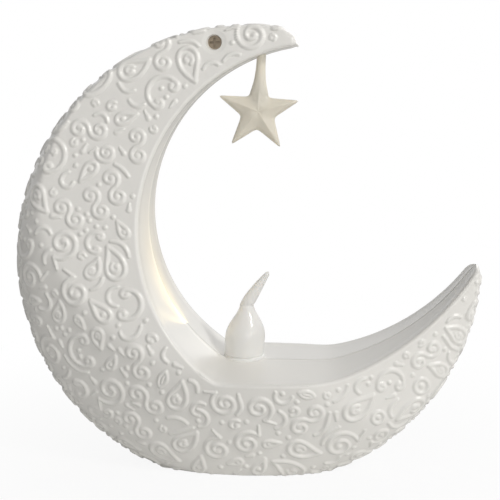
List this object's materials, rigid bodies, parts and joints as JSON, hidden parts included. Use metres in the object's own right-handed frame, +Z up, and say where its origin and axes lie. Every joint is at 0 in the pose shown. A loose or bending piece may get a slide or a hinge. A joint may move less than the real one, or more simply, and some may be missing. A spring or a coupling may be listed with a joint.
{
  "type": "crescent table ornament",
  "caption": "Hollow relief crescent on a flat base, with a star on a turning stem under its upper arm and a battery candle light on its inner floor.",
  "frame": {"origin": "centre of the base on the surface it stands on, straight below the centre of the crescent's outer circle", "axes": "+X right as seen from the front, towards the crescent's lower tip; +Y to the back, along the depth; +Z up"},
  "size_m": [0.13, 0.0436, 0.1235],
  "materials": {
    "pearl_shell": "pearl white ABS, glossy",
    "star_plastic": "cream white plastic, satin",
    "milky_plastic": "milky translucent plastic",
    "lamp_resin": "diffuse warm resin",
    "white_plastic": "matt moulded",
    "black_plastic": "matt moulded",
    "board_laminate": "green lacquered laminate",
    "resistor_coating": "tan lacquer",
    "plated_steel": "zinc plated",
    "tinned_metal": "tin plated",
    "cell_steel": "nickel plated",
    "red_sleeve": "soft sleeve",
    "orange_sleeve": "soft sleeve",
    "black_sleeve": "soft sleeve"
  },
  "bodies": {
    "crescent": {"front_shell": "pearl_shell", "back_shell": "pearl_shell", "upper_screw": "plated_steel", "lower_screws": "plated_steel", "flame_cover": "milky_plastic", "lamp": "lamp_resin", "lamp_pins": "tinned_metal", "lamp_spacer": "white_plastic", "circuit_board": "board_laminate", "flicker_chip": "black_plastic", "resistor": "resistor_coating", "board_screws": "plated_steel", "battery_tray": "black_plastic", "cell_left": "cell_steel", "cell_middle": "cell_steel", "cell_right": "cell_steel", "positive_contact": "tinned_metal", "negative_contact": "tinned_metal", "switch_body": "plated_steel", "switch_terminals": "tinned_metal", "positive_lead": "red_sleeve", "switched_lead": "orange_sleeve", "negative_lead": "black_sleeve"},
    "star": {"star_pendant": "star_plastic"},
    "door": {"battery_door": "white_plastic"},
    "knob": {"switch_knob": "black_plastic"}
  },
  "joints": [
    {"name": "star_swivel", "type": "hinge", "parent": "crescent", "child": "star", "pos_m": [0.0031, 0, 0.10069], "axis": [0.0628, 0, 0.998], "continuous": true},
    {"name": "battery_door_hinge", "type": "hinge", "parent": "crescent", "child": "door", "pos_m": [-0.01265, 0, 0.00105], "axis": [0, 1, 0], "range_deg": [0, 80]},
    {"name": "switch_slide", "type": "slide", "parent": "crescent", "child": "knob", "axis": [1, 0, 0], "range_m": [0, 0.002]}
  ]
}
